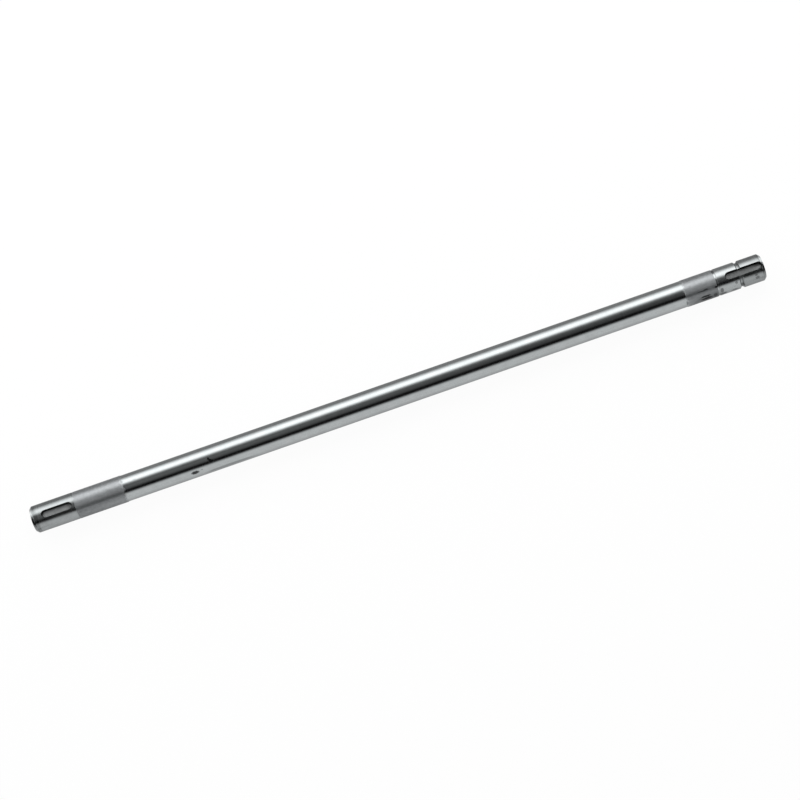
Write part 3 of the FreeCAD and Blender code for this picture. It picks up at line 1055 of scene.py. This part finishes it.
def add_arch():
    """Half tunnel of cards over the shaft, closed by a cap at each end."""
    turns = [math.pi * (step / ARCH_STEPS - 0.5) for step in range(ARCH_STEPS + 1)]
    spots = []
    for turn in turns:
        y, z = ARCH_RADIUS * math.sin(turn), ARCH_RADIUS * math.cos(turn)
        spots += [(-ARCH_HALF_LENGTH, y, z), (ARCH_HALF_LENGTH, y, z)]
    faces = [(2 * n, 2 * n + 1, 2 * n + 3, 2 * n + 2) for n in range(ARCH_STEPS)]
    add_card("arch", spots, faces, arch_material())

    material = glowing(Nodes("cap_card"), white(CAP_TONE), 1.0)
    for name, rim in (("left_cap", spots[0::2]), ("right_cap", spots[1::2])):
        add_card(name, rim, [tuple(range(len(rim)))], material)


def floor_card(name, corners, tones, far_tone):
    """A card on the floor beside the shaft, whose tone follows the distance from it."""
    card = Nodes(name + "_card")
    place = card.node("TexCoord").outputs["Object"]
    x, y, _ = card.node("SeparateXYZ", {0: place}).outputs
    away = card.less(card.math("ABSOLUTE", y), SEAT_RADIUS * MM)
    share = card.math("DIVIDE", away, card.add(away, NEAR_SIDE_RANGE))
    far = card.fade(card.math("ABSOLUTE", x), FAR_START, FAR_END)
    shown = card.blend(far, tone_ramp(card, share, tones, 1.0), white(far_tone))
    height = FLOOR_LEVEL + CARD_LIFT
    spots = [(place_x, place_y, height) for place_x, place_y in corners]
    add_card(name, spots, [(0, 1, 2, 3)], glowing(card, shown, 1.0))


def add_end_fans():
    """Fans on the floor beyond both ends, for the end chamfers to mirror."""
    card = Nodes("end_fan_card")
    place = card.node("TexCoord").outputs["Object"]
    x, y, _ = card.node("SeparateXYZ", {0: place}).outputs
    beyond = card.less(card.math("ABSOLUTE", x), HALF_LENGTH * MM)
    share = half_turn_share(card, card.math("ARCTAN2", y, beyond))
    shown = tone_ramp(card, share, half_turn_stops(FAN_TONES), FAN_STRENGTH)
    material = glowing(card, shown, FAN_STRENGTH)
    # The fans lie over the cards beside the shaft where the two meet
    height = FLOOR_LEVEL + 2 * CARD_LIFT
    for name, side in (("left_fan", -1), ("right_fan", 1)):
        start, end = side * CARD_EDGE, side * FAN_END
        low, high = -FAN_HALF_WIDTH, FAN_HALF_WIDTH
        spots = [(start, low, height), (end, low, height), (end, high, height), (start, high, height)]
        add_card(name, spots, [(0, 1, 2, 3)], material)


def add_floor_cards():
    """Grey behind the shaft, in front the shade that it throws, and fans beyond the ends."""
    near, far, wide = CARD_EDGE, FAR_SIDE_SPREAD, ARCH_HALF_LENGTH
    behind = [(-near, CARD_START), (near, CARD_START), (far, CARD_END), (-far, CARD_END)]
    front = [(-wide, -CARD_END), (wide, -CARD_END), (wide, -CARD_START), (-wide, -CARD_START)]
    floor_card("far_side", behind, [(0.0, FAR_SIDE_TONE), (1.0, FAR_SIDE_TONE)], FAR_SIDE_TONE)
    floor_card("near_side", front, NEAR_SIDE_TONES, NEAR_SIDE_FAR_TONE)
    add_end_fans()


def add_lamp():
    """One long soft box on the far side."""
    light = bpy.data.lights.new("soft_box", "AREA")
    light.shape = "RECTANGLE"
    light.size = LAMP_LENGTH
    light.size_y = LAMP_WIDTH
    light.energy = LAMP_POWER
    lamp = bpy.data.objects.new("soft_box", light)
    bpy.context.scene.collection.objects.link(lamp)
    away = Vector((0, math.sin(LAMP_TURN), math.cos(LAMP_TURN)))
    lamp.location = away * LAMP_DISTANCE
    lamp.rotation_mode = "QUATERNION"
    lamp.rotation_quaternion = away.to_track_quat("Z", "Y")
    lamp.visible_glossy = False


def add_world():
    """Even light from all round, shown as white."""
    world = bpy.data.worlds.new("studio")
    bpy.context.scene.world = world
    world.use_nodes = True
    tree = world.node_tree
    tree.nodes.clear()
    path = tree.nodes.new("ShaderNodeLightPath").outputs
    shown = path["Is Camera Ray"]
    for name in ("Is Glossy Ray", "Is Transmission Ray"):
        both = tree.nodes.new("ShaderNodeMath")
        both.operation = "MAXIMUM"
        tree.links.new(shown, both.inputs[0])
        tree.links.new(path[name], both.inputs[1])
        shown = both.outputs[0]
    strength = tree.nodes.new("ShaderNodeMapRange")
    tree.links.new(shown, strength.inputs["Value"])
    strength.inputs["To Min"].default_value = WORLD_LIGHT
    strength.inputs["To Max"].default_value = 1.0
    background = tree.nodes.new("ShaderNodeBackground")
    background.inputs["Color"].default_value = white(1.0)
    tree.links.new(strength.outputs[0], background.inputs["Strength"])
    output = tree.nodes.new("ShaderNodeOutputWorld")
    tree.links.new(background.outputs[0], output.inputs["Surface"])


def add_camera():
    """Camera at the photograph's angle: nearly from above, the shaft rising to the right."""
    towards = Vector((0, -math.sin(CAMERA_TILT), math.cos(CAMERA_TILT)))
    along = Vector((1, 0, 0))
    up_across = towards.cross(along)
    right = along * math.cos(CAMERA_ROLL) - up_across * math.sin(CAMERA_ROLL)
    up = along * math.sin(CAMERA_ROLL) + up_across * math.cos(CAMERA_ROLL)
    target = along * AIM_ALONG - up_across * AIM_DOWN
    lens = bpy.data.cameras.new("camera")
    lens.lens = lens.sensor_width / 2 * CAMERA_DISTANCE / (HALF_FRAME * SCALE)
    lens.clip_start, lens.clip_end = CAMERA_CLIP
    camera = bpy.data.objects.new("camera", lens)
    bpy.context.scene.collection.objects.link(camera)
    turn = Matrix((right, up, towards)).transposed().to_4x4()
    camera.matrix_world = Matrix.Translation(target + towards * CAMERA_DISTANCE) @ turn
    bpy.context.scene.camera = camera


shaft = build_shaft(turned_steel(), milled_steel())
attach(shaft, "root")
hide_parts(NODE)

add_floor()
add_arch()
add_floor_cards()
add_lamp()
add_world()
add_camera()
bpy.context.scene.view_settings.view_transform = "Standard"
